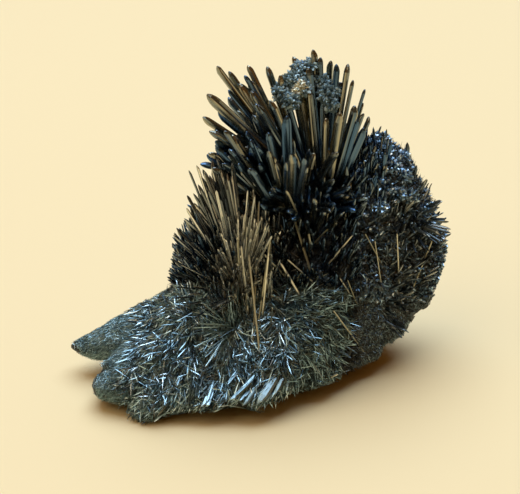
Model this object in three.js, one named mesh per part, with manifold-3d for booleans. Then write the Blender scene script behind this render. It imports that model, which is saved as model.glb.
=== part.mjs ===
// Stibnite specimen: a broken lump of matrix that carries radiating sprays of metallic prisms.
// Millimetres, +Z up. The front faces -Y, so +X is to the right of someone who looks at it.
import * as THREE from "three";
import { mergeVertices } from "three/addons/utils/BufferGeometryUtils.js";
import Module from "manifold-3d";

const wasm = await Module();
wasm.setup();
const { degToRad } = THREE.MathUtils;

// The front is described as it looks from 25 degrees above the horizon. A place there is given by
// how far across it is from the middle, how far up the picture from the front toe, and how far back.
const VIEW_PITCH = degToRad(25);
const VIEW_DISTANCE = 350;
const VIEW_MIDDLE = { across: 0, up: 35.4, back: 18 };

const GAP = 0.3; // air left between neighbouring pieces
const CRYSTAL_SIDES = 5;
const FILLER_SIDES = 4;
const FLATNESS = 0.62; // a prism's thickness as a share of its width
const ROOTED = 0.06; // a crystal starts this share of the way from its bundle's start to its tip

// The matrix is a block bounded by broken faces around its heart. Each face has a bearing (0 right,
// 90 back, 180 left, 270 front), a rise above the horizon and a distance from the heart.
const MATRIX_HEART = new THREE.Vector3(4, 22, 18);
const MATRIX_DETAIL = 6; // subdivisions of the icosahedron that the block is drawn on
const EDGE_SHARPNESS = 18; // higher leaves sharper edges between the faces
const LUMP_HEIGHT = 0.9;
const MATRIX_FACES = [
  { name: "front", bearing: 270, rise: 34, distance: 10.8 },
  { name: "front right", bearing: 308, rise: 5, distance: 13.9 },
  { name: "right overhang", bearing: 357, rise: -26, distance: 32.5 },
  { name: "right crest", bearing: 355, rise: 28, distance: 34.8 },
  { name: "top", bearing: 234, rise: 70, distance: 20.6 },
  { name: "left shoulder", bearing: 180, rise: 40, distance: 17.7 },
  { name: "left end", bearing: 188, rise: 0, distance: 33.5 },
  { name: "front left", bearing: 225, rise: 20, distance: 27.8 },
  { name: "lower back", bearing: 90, rise: -12, distance: 21 },
  { name: "upper back", bearing: 92, rise: 16, distance: 20.5 },
  { name: "back left", bearing: 135, rise: 14, distance: 22 },
  { name: "back right", bearing: 45, rise: 2, distance: 32.5 },
  { name: "front undercut", bearing: 270, rise: -63, distance: 23.2 },
  { name: "right undercut", bearing: 0, rise: -58, distance: 22.7 },
  { name: "front right undercut", bearing: 308, rise: -58, distance: 19 },
  { name: "back undercut", bearing: 90, rise: -60, distance: 24 },
];

// Two rocky toes reach out to the left: [across, up, back] of root and tip, and the root's radii.
const TOES = [
  { root: [-18, 17.6, 22], tip: [-38.6, 15.4, 22], wide: 10.5, high: 8.5, blunt: 0.9 },
  { root: [-19, 11.4, 12], tip: [-34, 7.4, 7.5], wide: 9, high: 7.4, blunt: 0.5 },
  { root: [-17, 10, 10], tip: [-24.4, 1, 2], wide: 8, high: 6.5, blunt: 0.5 },
];

// Sprays: the heart of a spray, the reach of the root around it, and bundles of crystals. A bundle's
// crystals spread from one place; each is [across, up, back] of the tip and the width of the prism.
const MAIN_SPRAY = {
  heart: [8, 43, 27],
  root: [11, 9, 9],
  bundles: [
    { from: [9, 48, 27], crystals: [ // left wing
      [-8.8, 71.6, 27, 1.5], [-6.4, 70.6, 29, 1.7], [-2.4, 71.8, 30, 1.3], [-3, 69.8, 27, 1.1],
      [-6.6, 65.2, 31, 1.5], [-10.6, 66, 24, 2.6], [-11.6, 61.4, 23, 1.8], [-10.2, 58.6, 21, 1.8],
      [-4, 68.2, 27, 2.1], [-2.4, 69, 28, 2.1], [-10.4, 54, 22, 1.4], [-12, 52, 21, 1.6],
      [-0.8, 64, 21, 2.1], [-8.4, 62.6, 25, 2], [-8.2, 57.2, 23, 2], [-6.4, 66.8, 26, 1],
    ] },
    { from: [12.5, 40, 27], crystals: [ // crown
      [1.4, 71.6, 31, 1.7], [3.8, 69.8, 28, 1.4], [6.2, 70.8, 30, 2], [7, 73.6, 33, 1.5],
      [8.4, 72.8, 31, 1.6], [10.8, 75, 32, 1.5], [12, 73.4, 31, 1.4], [14, 72.8, 32, 1.5],
      [15.4, 72, 30, 1.4], [17.6, 72, 30, 1.6], [18.6, 68.8, 29, 1.1], [21, 67, 30, 0.9],
      [20.6, 62.2, 27, 0.9], [22, 61.4, 29, 1.1], [16, 62.4, 20, 2.1], [13.2, 61.2, 21, 1.8],
      [19.2, 63.6, 23, 1.8], [21, 59.2, 24, 1.6], [2, 64.8, 23, 1.9],
    ] },
    { from: [6, 38, 24], crystals: [ // front blades
      [1.6, 58.6, 17, 2.2], [5.2, 61.6, 17, 2], [6.6, 54, 13, 2], [9, 53.2, 14, 1.4],
      [-1.8, 56.8, 18, 1.4], [-5.6, 57.8, 20, 1.9], [-2, 51.2, 15, 1.8], [1.6, 54.8, 16, 1.9],
      [-7, 58.8, 19, 1.2],
    ] },
    { from: [10, 36, 23], crystals: [ // low front
      [5.2, 46.8, 12, 1.1], [9.4, 40.6, 11, 1], [13, 42.4, 12, 1.2], [16.6, 42.2, 14, 1], [11, 45, 13, 1.3],
    ] },
    { from: [8, 40, 30], crystals: [ // back
      [-8, 54, 38, 1.7], [-4.5, 59, 40, 1.8], [0.5, 61.5, 41, 1.7], [5.5, 63, 42, 2], [11, 63, 42, 1.8],
      [16, 60.5, 41, 1.7], [20.5, 57, 39, 1.5], [-4, 52.5, 41, 1.5], [9, 57, 42.5, 1.6], [15, 55, 42, 1.5],
    ] },
  ],
};
const LEFT_FAN = {
  heart: [-4, 26, 17],
  root: [9, 7, 9],
  bundles: [
    { from: [-4, 26, 17], crystals: [
      [-12.6, 51.8, 19, 1], [-14.2, 50.8, 20, 1], [-14.6, 45.8, 20, 1], [-14.8, 43.2, 19, 1],
      [-16.8, 39.2, 20, 0.9], [-17.4, 37.8, 19, 1], [-17.6, 34, 19, 0.9], [-8.8, 46.8, 14, 1],
      [-6.4, 41.6, 11, 0.8], [-4.4, 41.2, 11, 0.8], [-2.4, 46.8, 13, 0.8], [-1, 45.8, 12, 1],
      [0.2, 40.8, 10, 0.8], [1.8, 39.8, 10, 1], [2.4, 37.6, 9, 0.8], [-7.8, 38.2, 10.5, 0.8],
      [-11, 38, 13, 0.8],
    ] },
    { from: [-3, 30, 19], crystals: [ // upper left edge
      [-11.2, 50.4, 20.5, 1.3], [-12.4, 48, 20, 1.2], [-9.6, 51.6, 21, 1.4], [-13.4, 46.2, 20, 1.1],
      [-8.4, 50, 19, 1.3], [-15.2, 41.2, 19.5, 1], [-10.6, 47, 18.5, 1.2], [-7, 48.6, 18, 1.4],
    ] },
  ],
};
const RIGHT_BANK = {
  heart: [28.5, 41, 31],
  root: [8, 7.5, 11],
  bundles: [
    { from: [28.5, 41, 31], crystals: [
      [29.6, 56.4, 31, 1.1], [31.4, 51.8, 30, 0.9], [33.4, 49, 30, 0.9], [36, 44.2, 28, 0.8],
      [37.4, 41, 28, 0.8], [38.2, 38.2, 26, 1.1], [34, 37.4, 20, 0.8], [27.2, 38.4, 18, 0.8],
      [28, 47, 23, 1], [24, 50, 26, 1],
    ] },
  ],
};
const FOOT_BLADES = {
  heart: [0.5, 9, 7],
  root: [5, 3, 3],
  bundles: [
    { from: [0.5, 9, 7], crystals: [
      [-12, 2.4, 2, 1.2], [-5, 4, -0.5, 1.6], [0.4, 1.9, -0.5, 1.8], [-1.4, 2.2, 0, 1.2], [17, 9, 12, 1.1],
    ] },
  ],
};

// Filling crystals between those of a spray: how many, how far they lean from the spray's axis,
// and how long they are, upright and at full lean.
const MAIN_FILL = { count: 8, axis: [0, 0.05, 1], lean: 64, upright: 27, leaning: 17, width: 1.4 };
const FAN_FILL = { count: 12, axis: [-0.5, -0.6, 1], lean: 60, upright: 20, leaning: 13, width: 0.9 };
const BANK_FILL = { count: 14, axis: [0.8, -0.3, 0.7], lean: 70, upright: 14, leaning: 12.5, width: 1.1 };

// Short spines over the front, around the bearing and rise where they radiate from.
const FRONT_SPINES = { count: 26, bearing: 268, rise: 12, spread: 58, length: 5, width: 1.1 };

const STIBNITE = { color: 0x2b2a2c, roughness: 0.34, metalness: 0.9 };
const TARNISHED = { color: 0x3a342b, roughness: 0.38, metalness: 0.85 };
const DRUSE = { color: 0x3c444c, roughness: 0.4, metalness: 0.7 };
const FELTED_MATRIX = { color: 0x3b3e3f, roughness: 0.7, metalness: 0.3 };

// A number from 0 to 1 that stays the same for the n-th crystal and the k-th choice about it.
function chance(n, k) {
  const wave = Math.sin(n * 12.9898 + k * 78.233) * 43758.5453;
  return wave - Math.floor(wave);
}

// The point seen at a place of the front picture, on the upright plane that lies so far back.
function seen([across, up, back]) {
  const pictureUp = new THREE.Vector3(0, Math.sin(VIEW_PITCH), Math.cos(VIEW_PITCH));
  const towardsViewer = new THREE.Vector3(0, -Math.cos(VIEW_PITCH), Math.sin(VIEW_PITCH));
  const height = (VIEW_MIDDLE.up - VIEW_MIDDLE.back * Math.sin(VIEW_PITCH)) / Math.cos(VIEW_PITCH);
  const middle = new THREE.Vector3(VIEW_MIDDLE.across, VIEW_MIDDLE.back, height);
  const eye = middle.clone().addScaledVector(towardsViewer, VIEW_DISTANCE);
  const onPicture = middle.addScaledVector(pictureUp, up - VIEW_MIDDLE.up);
  onPicture.x += across;
  const ray = onPicture.sub(eye);
  return eye.addScaledVector(ray, (back - eye.y) / ray.y);
}

// A unit vector from a bearing and a rise, both in degrees.
function heading(bearing, rise) {
  const around = degToRad(bearing);
  const over = degToRad(rise);
  return new THREE.Vector3(
    Math.cos(around) * Math.cos(over), Math.sin(around) * Math.cos(over), Math.sin(over));
}

// A closed geometry as a solid: doubled vertices merged, collapsed triangles dropped.
function solidFrom(geometry) {
  geometry.deleteAttribute("normal");
  geometry.deleteAttribute("uv");
  const merged = mergeVertices(geometry, 1e-4);
  const corners = merged.index.array;
  const kept = [];
  for (let i = 0; i < corners.length; i += 3) {
    const [a, b, c] = corners.slice(i, i + 3);
    if (a !== b && b !== c && c !== a) kept.push(a, b, c);
  }
  const mesh = { numProp: 3, vertProperties: merged.attributes.position.array, triVerts: new Uint32Array(kept) };
  return new wasm.Manifold(new wasm.Mesh(mesh));
}

// The largest body of a solid, without the splinters and the sealed hollows that joins and cuts leave.
function largestBody(solid) {
  return solid.decompose().reduce((a, b) => (a.volume() > b.volume() ? a : b));
}

function meshFrom(solid, name, finish) {
  const { vertProperties, triVerts } = solid.getMesh();
  const geometry = new THREE.BufferGeometry();
  geometry.setAttribute("position", new THREE.BufferAttribute(vertProperties, 3));
  geometry.setIndex(new THREE.BufferAttribute(triVerts, 1));
  geometry.computeVertexNormals();
  const mesh = new THREE.Mesh(geometry, new THREE.MeshStandardMaterial({ ...finish, flatShading: true }));
  mesh.name = name;
  return mesh;
}

// One crystal: a flattened prism with a point, turned about its own length.
function crystal(base, tip, width, turn, sides, grow) {
  const axis = tip.clone().sub(base);
  const length = axis.length() + grow;
  const radius = width / 2 + grow;
  const point = Math.min(width * 1.6, length * 0.3);
  const profile = [[0, 0], [radius, 0], [radius * 0.86, length - point], [0, length]];
  const geometry = new THREE.LatheGeometry(profile.map(([x, y]) => new THREE.Vector2(x, y)), sides);
  geometry.scale(1, 1, FLATNESS);
  geometry.rotateY(turn);
  const upright = new THREE.Vector3(0, 1, 0);
  geometry.applyQuaternion(new THREE.Quaternion().setFromUnitVectors(upright, axis.normalize()));
  geometry.translate(base.x, base.y, base.z);
  return solidFrom(geometry);
}

// The root that a spray's crystals start in: what the block holds around the spray's heart.
function root(heart, radii, grow) {
  const geometry = new THREE.IcosahedronGeometry(1, 1);
  geometry.scale(radii[0] + grow, radii[1] + grow, radii[2] + grow);
  geometry.translate(heart.x, heart.y, heart.z);
  return grow ? solidFrom(geometry) : solidFrom(geometry).intersect(block);
}

// Filling crystals of a spray as tip points and widths: evenly turned about the axis, by chance leaning.
function fillers(heart, { count, axis, lean, upright, leaning, width }) {
  const along = new THREE.Vector3(...axis).normalize();
  const toAxis = new THREE.Quaternion().setFromUnitVectors(new THREE.Vector3(0, 0, 1), along);
  return Array.from({ length: count }, (_, n) => {
    const share = Math.sqrt((n + 0.5) / count);
    const bearing = (n * 137.508 + 40 * chance(n, 1)) % 360;
    const direction = heading(bearing, 90 - lean * share).applyQuaternion(toAxis);
    const length = THREE.MathUtils.lerp(upright, leaning, share) * (0.72 + 0.28 * chance(n, 2));
    const tip = heart.clone().addScaledVector(direction, length);
    return { from: heart, tip, width: width * (0.7 + 0.5 * chance(n, 3)), sides: FILLER_SIDES };
  });
}

// A whole spray in one solid. With grow, every crystal is thicker and longer by that much.
function spray({ heart, root: radii, bundles }, fill, grow = 0) {
  const middle = seen(heart);
  const drawn = bundles.flatMap(({ from, crystals }) => crystals.map(([across, up, back, width]) =>
    ({ from: seen(from), tip: seen([across, up, back]), width, sides: CRYSTAL_SIDES })));
  const all = fill ? drawn.concat(fillers(middle, fill)) : drawn;
  const prisms = all.map(({ from, tip, width, sides }, n) =>
    crystal(from.clone().lerp(tip, ROOTED), tip, width, Math.PI * chance(n, 4), sides, grow));
  return wasm.Manifold.union([root(middle, radii, grow), ...prisms]);
}

// Low swells of the broken surface.
function lump(p) {
  return LUMP_HEIGHT * (
    Math.sin(0.31 * p.x + 1.3) * Math.sin(0.37 * p.y + 0.4) +
    0.7 * Math.sin(0.53 * p.x + 0.47 * p.z + 2.1) * Math.sin(0.61 * p.y - 0.29 * p.z));
}

// Where the broken faces together stop a line that leaves the heart in a direction.
const faceNormals = MATRIX_FACES.map(({ bearing, rise }) => heading(bearing, rise));
function surfaceAt(direction) {
  const press = MATRIX_FACES.reduce((sum, { distance }, f) =>
    sum + Math.max(0, faceNormals[f].dot(direction) / distance) ** EDGE_SHARPNESS, 1e-30);
  const surface = MATRIX_HEART.clone().addScaledVector(direction, press ** (-1 / EDGE_SHARPNESS));
  return surface.addScaledVector(direction, lump(surface));
}

function brokenBlock() {
  const geometry = new THREE.IcosahedronGeometry(1, MATRIX_DETAIL);
  const places = geometry.attributes.position;
  const direction = new THREE.Vector3();
  for (let i = 0; i < places.count; i++) {
    const surface = surfaceAt(direction.fromBufferAttribute(places, i).normalize());
    places.setXYZ(i, surface.x, surface.y, surface.z);
  }
  return solidFrom(geometry);
}

// Short spines on the block's front, lying outwards from where the needles radiate.
function spines({ count, bearing, rise, spread, length, width }) {
  const middle = heading(bearing, rise);
  const focus = surfaceAt(middle);
  const toMiddle = new THREE.Quaternion().setFromUnitVectors(new THREE.Vector3(0, 0, 1), middle);
  return Array.from({ length: count }, (_, n) => {
    const share = Math.sqrt((n + 0.5) / count);
    const outward = heading(n * 137.508, 90 - spread * share).applyQuaternion(toMiddle);
    const foot = surfaceAt(outward);
    const lie = foot.clone().sub(focus).normalize().addScaledVector(outward, 0.55 + 0.5 * chance(n, 5)).normalize();
    const base = foot.clone().addScaledVector(lie, -0.4 * length);
    const tip = foot.clone().addScaledVector(lie, length * (0.45 + 0.4 * chance(n, 6)));
    return crystal(base, tip, width, Math.PI * chance(n, 7), FILLER_SIDES, 0);
  });
}

// A toe: a spur of rock that narrows from its root to its tip.
function toe({ root, tip, wide, high, blunt }) {
  const from = seen(root);
  const to = seen(tip);
  const length = from.distanceTo(to);
  const steps = 4;
  const profile = [[0, 0]];
  for (let i = 0; i <= steps; i++) {
    const along = i / steps;
    profile.push([(1 - along) ** blunt, length * along]);
  }
  const geometry = new THREE.LatheGeometry(profile.map(([x, y]) => new THREE.Vector2(x, y)), 9);
  geometry.scale(wide, 1, high);
  const frame = new THREE.Matrix4();
  const along = to.clone().sub(from).normalize();
  const level = new THREE.Vector3(0, 0, 1).cross(along).normalize();
  frame.makeBasis(level, along, level.clone().cross(along));
  geometry.applyMatrix4(frame);
  geometry.translate(from.x, from.y, from.z);
  return solidFrom(geometry);
}

// What lies below the surface that the specimen stands on.
function ground() {
  const geometry = new THREE.BoxGeometry(200, 200, 60);
  geometry.translate(0, 0, -30);
  return solidFrom(geometry);
}

const block = brokenBlock();
const mainSpray = largestBody(spray(MAIN_SPRAY, MAIN_FILL));
const mainRoom = spray(MAIN_SPRAY, MAIN_FILL, GAP);
const leftFan = largestBody(spray(LEFT_FAN, FAN_FILL).subtract(mainRoom));
const rightBank = largestBody(spray(RIGHT_BANK, BANK_FILL).subtract(mainRoom));
const room = wasm.Manifold.union([mainRoom, spray(LEFT_FAN, FAN_FILL, GAP), spray(RIGHT_BANK, BANK_FILL, GAP)]);
const rock = [block, ...TOES.map(toe), spray(FOOT_BLADES), ...spines(FRONT_SPINES)];
const matrix = largestBody(wasm.Manifold.union(rock).subtract(room).subtract(ground()));

const specimen = new THREE.Group();
specimen.add(meshFrom(matrix, "matrix", FELTED_MATRIX));
specimen.add(meshFrom(mainSpray, "main_crystal_spray", STIBNITE));
specimen.add(meshFrom(leftFan, "left_needle_fan", TARNISHED));
specimen.add(meshFrom(rightBank, "right_druse_bank", DRUSE));

// The origin is on the standing surface, under the middle of the whole specimen.
const box = new THREE.Box3().setFromObject(specimen);
const centre = box.getCenter(new THREE.Vector3());
specimen.position.set(-centre.x, -centre.y, -box.min.z);

export default specimen;
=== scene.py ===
"""Looks of the stibnite specimen: rock, felt of needles, striated prisms and druse over the CAD solids.

Lengths are millimetres in the CAD row's frame until a mesh is made, which takes metres.
"""
import itertools
import math

import bpy
import numpy as np
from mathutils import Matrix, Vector


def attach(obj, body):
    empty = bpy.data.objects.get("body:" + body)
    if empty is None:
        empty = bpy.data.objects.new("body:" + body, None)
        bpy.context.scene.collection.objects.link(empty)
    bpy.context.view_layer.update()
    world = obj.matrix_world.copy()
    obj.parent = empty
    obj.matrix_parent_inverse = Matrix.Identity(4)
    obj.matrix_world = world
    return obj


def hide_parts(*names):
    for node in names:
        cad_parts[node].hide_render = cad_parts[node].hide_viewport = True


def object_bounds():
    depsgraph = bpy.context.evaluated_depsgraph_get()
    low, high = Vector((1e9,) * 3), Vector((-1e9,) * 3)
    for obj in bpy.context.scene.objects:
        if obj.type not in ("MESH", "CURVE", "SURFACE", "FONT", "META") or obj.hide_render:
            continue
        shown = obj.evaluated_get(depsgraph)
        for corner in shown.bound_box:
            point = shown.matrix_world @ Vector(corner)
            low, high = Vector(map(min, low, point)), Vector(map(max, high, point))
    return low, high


MM = 0.001
PIXEL = 0.2  # millimetres for one pixel of the photograph, at the specimen's middle
PHOTO_SIZE = (520, 494)
FOOT_ROW = 424  # the photograph's row at the foot of the front toe
PITCH = math.radians(25)  # how far the camera looks down
EYE_DISTANCE = 350.0
ROW_ORIGIN = np.array([0.293, 20.953, 0.0])  # the CAD row's origin, in the frame of the front picture

ACROSS = np.array([1.0, 0.0, 0.0])
PICTURE_UP = np.array([0.0, math.sin(PITCH), math.cos(PITCH)])
TO_VIEWER = np.array([0.0, -math.cos(PITCH), math.sin(PITCH)])
MIDDLE_UP = (FOOT_ROW - PHOTO_SIZE[1] / 2) * PIXEL
MIDDLE_BACK = 18.0
MIDDLE = np.array([0.0, MIDDLE_BACK, (MIDDLE_UP - MIDDLE_BACK * math.sin(PITCH)) / math.cos(PITCH)])
EYE = MIDDLE + EYE_DISTANCE * TO_VIEWER

# Places of the lamps, in metres. Faces turned to the highlight reflect the window to the viewer.
WINDOW_PLACE = (0.06, 0.32, 1.2)
SKY_PLACE = (-0.65, -0.45, 1.05)
LIGHT_AIM = (0, 0, 0.03)
HIGHLIGHT = np.array(WINDOW_PLACE) / np.linalg.norm(WINDOW_PLACE) + TO_VIEWER
SENSOR_WIDTH = 36  # millimetres
NEAREST_SEEN = 0.01  # metres

SEED = 12
random = np.random.default_rng(SEED)

# The specimen's outline in the photograph, as columns and rows.
# Crystals stay inside it in the front picture.
OUTLINE = np.array([
    (71, 342), (97, 329), (110, 319), (140, 301), (168, 288), (166, 279), (171, 254), (172, 234),
    (184, 219), (185, 196), (188, 170), (199, 162), (208, 152), (208, 131), (201, 116), (205, 93),
    (214, 64), (248, 63), (267, 64), (292, 56), (313, 49), (330, 58), (349, 62), (367, 88), (372, 116),
    (380, 123), (393, 126), (410, 141), (420, 164), (431, 179), (443, 201), (453, 232), (446, 262),
    (437, 288), (427, 305), (413, 314), (410, 331), (402, 358), (376, 368), (346, 380), (312, 391),
    (291, 400), (268, 417), (240, 406), (202, 415), (166, 416), (145, 427), (128, 423), (110, 411),
    (97, 398), (92, 385), (96, 377), (108, 368), (81, 357),
])

# The matrix: broken faces around its heart, as in the CAD: bearing, rise, distance.
HEART = np.array([4.0, 22.0, 18.0]) - ROW_ORIGIN
EDGE_SHARPNESS = 18
FACES = np.array([
    [270, 34, 10.8], [308, 5, 13.9], [357, -26, 32.5], [355, 28, 34.8], [234, 70, 20.6], [180, 40, 17.7],
    [188, 0, 33.5], [225, 20, 27.8], [90, -12, 21], [92, 16, 20.5], [135, 14, 22], [45, 2, 32.5],
    [270, -63, 23.2], [0, -58, 22.7], [308, -58, 19], [90, -60, 24],
])
# Toes: root, tip, half width, half height and bluntness.
TOES = [
    ([-18, 17.6, 22], [-38.6, 15.4, 22], 10.5, 8.5, 0.9),
    ([-19, 11.4, 12], [-34, 7.4, 7.5], 9, 7.4, 0.5),
    ([-17, 10, 10], [-24.4, 1, 2], 8, 6.5, 0.5),
]
ROCK_SINK = 0.6  # the rock lies this far below the CAD surface, which the felt reaches up to
VOXEL = 0.45
BLOCK_RINGS, BLOCK_SIDES = 150, 300
HIGHEST_RING = 89.5  # degrees of rise, just short of the pole
TOE_RINGS, TOE_SIDES = 40, 48
TOE_END = 0.97  # share of a toe's length at its last ring
ROUGHNESS = [(0.7, 4.5), (0.4, 1.9), (0.18, 0.9)]  # height and size of the rock's lumps
GROUND_FADE = 2.0  # the rock gets smooth over this height above the ground
CALM_LEFT_OF = 150  # left of this column the toes are smoother
TOE_CALM = 0.6
OUTLINE_TRIM = 0.8  # rock that is seen outside the outline is taken back by so much
TRIM_RIGHT_OF = 90  # but not left of this column, where the upper toe ends in a thin tip
ROCK_LUMP = 3.0  # sizes of the rock's colour patches and of its finest bumps
ROCK_GRAIN = 0.6

# Bundles of prisms: where a bundle starts, and the across, up, back and width of its crystals' tips.
MAIN_HEART = [8, 43, 27]
LEFT_WING = ([9, 48, 27], [
    [-8.8, 71.6, 27, 1.5], [-6.4, 70.6, 29, 1.7], [-2.4, 71.8, 30, 1.3], [-3, 69.8, 27, 1.1],
    [-6.6, 65.2, 31, 1.5], [-10.6, 66, 24, 2.6], [-11.6, 61.4, 23, 1.8], [-10.2, 58.6, 21, 1.8],
    [-4, 68.2, 27, 2.1], [-2.4, 69, 28, 2.1], [-10.4, 54, 22, 1.4], [-12, 52, 21, 1.6],
    [-0.8, 64, 21, 2.1], [-8.4, 62.6, 25, 2], [-8.2, 57.2, 23, 2], [-6.4, 66.8, 26, 1],
])
CROWN = ([12.5, 40, 27], [
    [1.4, 71.6, 31, 1.7], [3.8, 69.8, 28, 1.4], [6.2, 70.8, 30, 2], [7, 73.6, 33, 1.5],
    [8.4, 72.8, 31, 1.6], [10.8, 75, 32, 1.5], [12, 73.4, 31, 1.4], [14, 72.8, 32, 1.5],
    [15.4, 72, 30, 1.4], [17.6, 72, 30, 1.6], [18.6, 68.8, 29, 1.1], [21, 67, 30, 0.9],
    [20.6, 62.2, 27, 0.9], [22, 61.4, 29, 1.1], [16, 62.4, 20, 2.1], [13.2, 61.2, 21, 1.8],
    [19.2, 63.6, 23, 1.8], [21, 59.2, 24, 1.6], [2, 64.8, 23, 1.9],
])
CROWN_MIDDLE = (CROWN[0], [[9.8, 71.4, 29, 1.6], [10, 67, 27, 1.7], [5, 66, 27, 1.8], [8, 69, 28, 1.6]])
FRONT_BLADES = ([6, 38, 24], [
    [1.6, 58.6, 17, 2.2], [5.2, 61.6, 17, 2], [6.6, 54, 13, 2], [9, 53.2, 14, 1.4],
    [-1.8, 56.8, 18, 1.4], [-5.6, 57.8, 20, 1.9], [-2, 51.2, 15, 1.8], [1.6, 54.8, 16, 1.9],
    [-7, 58.8, 19, 1.2],
])
LOW_FRONT = ([10, 36, 23], [
    [5.2, 46.8, 12, 1.1], [9.4, 40.6, 11, 1], [13, 42.4, 12, 1.2], [16.6, 42.2, 14, 1], [11, 45, 13, 1.3],
])
WING_FOOT = ([4, 42, 24], [
    [-8.8, 55.4, 21, 1.7], [-7.4, 52.4, 20, 1.6], [-9.4, 51.4, 20, 1.4], [-6, 55, 19, 1.6],
    [-4.4, 52, 17, 1.4],
])
BACK_PRISMS = ([8, 40, 30], [
    [-8, 54, 38, 1.7], [-4.5, 59, 40, 1.8], [0.5, 61.5, 41, 1.7], [5.5, 63, 42, 2], [11, 63, 42, 1.8],
    [16, 60.5, 41, 1.7], [20.5, 57, 39, 1.5], [-4, 52.5, 41, 1.5], [9, 57, 42.5, 1.6], [15, 55, 42, 1.5],
])
LEFT_FAN = ([-4, 26, 17], [
    [-12.6, 51.8, 19, 1], [-14.2, 50.8, 20, 1], [-14.6, 45.8, 20, 1], [-14.8, 43.2, 19, 1],
    [-16.8, 39.2, 20, 0.9], [-17.4, 37.8, 19, 1], [-17.6, 34, 19, 0.9], [-8.8, 46.8, 14, 1],
    [-6.4, 41.6, 11, 0.8], [-4.4, 41.2, 11, 0.8], [-2.4, 46.8, 13, 0.8], [-1, 45.8, 12, 1],
    [0.2, 40.8, 10, 0.8], [1.8, 39.8, 10, 1], [2.4, 37.6, 9, 0.8], [-7.8, 38.2, 10.5, 0.8],
    [-11, 38, 13, 0.8],
])
UPPER_LEFT_EDGE = ([-3, 30, 19], [
    [-11.2, 50.4, 20.5, 1.3], [-12.4, 48, 20, 1.2], [-9.6, 51.6, 21, 1.4], [-13.4, 46.2, 20, 1.1],
    [-8.4, 50, 19, 1.3], [-15.2, 41.2, 19.5, 1], [-10.6, 47, 18.5, 1.2], [-7, 48.6, 18, 1.4],
])
LEFT_EDGE_FILL = ([-3, 32, 19], [
    [-11.8, 49.2, 21, 1.2], [-10.2, 49.8, 20.5, 1.3], [-9, 48.6, 20, 1.3], [-12.4, 46.4, 20.5, 1.1],
    [-7.8, 51, 20, 1.4], [-6.6, 50.2, 19.5, 1.3], [-5.6, 52.4, 20, 1.4], [-13.4, 44.2, 20, 1],
    [-9.8, 52.8, 21, 1.2], [-11.4, 51, 21, 1.1], [-8.6, 53.4, 21, 1.3],
])
RIGHT_BANK = ([28.5, 41, 31], [
    [29.6, 56.4, 31, 1.1], [31.4, 51.8, 30, 0.9], [33.4, 49, 30, 0.9], [36, 44.2, 28, 0.8],
    [37.4, 41, 28, 0.8], [38.2, 38.2, 26, 1.1], [34, 37.4, 20, 0.8], [27.2, 38.4, 18, 0.8],
    [28, 47, 23, 1], [24, 50, 26, 1],
])
# Single needles on the front, from root to tip as columns and rows of the photograph, and width.
GOLDEN_NEEDLES = [
    (281, 272, 263, 254, 0.45), (296, 289, 279, 262, 0.55), (326, 294, 286, 259, 0.35),
    (311, 249, 307, 226, 0.45), (316, 242, 343, 213, 0.45), (378, 258, 364, 235, 0.4),
    (380, 280, 374, 240, 0.35), (398, 275, 395, 233, 0.45), (413, 285, 430, 240, 0.4),
    (362, 350, 332, 310, 0.35), (320, 389, 344, 380, 0.5), (306, 256, 285, 191, 0.8),
    (354, 299, 346, 279, 0.35), (349, 293, 339, 279, 0.35), (330, 262, 352, 236, 0.3),
]
FAN_NEEDLES = [
    (257, 335, 250, 254, 0.5), (260, 310, 270, 239, 0.55), (250, 280, 266, 227, 0.6),
    (244, 262, 253, 194, 0.6), (244, 280, 248, 227, 0.5), (250, 270, 260, 221, 0.55),
    (240, 285, 238, 240, 0.45), (234, 280, 226, 236, 0.5), (232, 288, 221, 248, 0.45),
    (225, 294, 216, 254, 0.4), (222, 285, 201, 230, 0.5), (200, 292, 187, 270, 0.3),
    (254, 318, 259, 202, 0.5), (238, 296, 228, 217, 0.45), (248, 308, 243, 246, 0.4),
    (263, 306, 268, 252, 0.4),
]
BRIGHT_BLADES = [
    (210, 388, 202, 412, 1.0), (214, 388, 207, 408, 0.8), (223, 391, 216, 402, 1.1),
    (256, 378, 236, 404, 1.3), (251, 380, 230, 401, 0.9), (258, 384, 243, 405, 1.0),
    (264, 386, 257, 406, 1.2), (273, 384, 266, 416, 1.9), (279, 384, 275, 408, 1.1),
    (342, 345, 357, 353, 0.35), (338, 349, 351, 358, 0.3), (330, 352, 338, 364, 0.3),
    (300, 372, 308, 388, 0.3), (159, 341, 157, 354, 0.4), (181, 375, 177, 384, 0.4),
    (240, 368, 228, 384, 0.5), (290, 380, 288, 396, 0.5), (312, 362, 322, 378, 0.3),
    (197, 303, 187, 302, 0.4), (248, 390, 240, 400, 0.6),
]


def seen(across, up, back):
    """Points of the row frame that lie at places of the front picture, on upright planes so far back:
    the sight line from the eye through the place, followed until it meets that plane."""
    across, up, back = np.broadcast_arrays(np.asarray(across, float), up, back)
    on_picture = MIDDLE + across[..., None] * ACROSS + (up - MIDDLE_UP)[..., None] * PICTURE_UP
    ray = on_picture - EYE
    return EYE + ray * ((back - EYE[1]) / ray[..., 1])[..., None] - ROW_ORIGIN


def at_pixel(column, row, back):
    """Points that are seen at columns and rows of the photograph, so far back."""
    across = (np.asarray(column) - PHOTO_SIZE[0] / 2) * PIXEL
    up = (FOOT_ROW - np.asarray(row)) * PIXEL
    return seen(across, up, back)


def pictured(points):
    """Column and row of the photograph where points of the row frame are seen."""
    ray = points + ROW_ORIGIN - EYE
    onto = ray * (EYE_DISTANCE / -(ray @ TO_VIEWER))[..., None] + EYE - MIDDLE
    column = PHOTO_SIZE[0] / 2 + onto @ ACROSS / PIXEL
    row = PHOTO_SIZE[1] / 2 - onto @ PICTURE_UP / PIXEL
    return column, row


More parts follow.
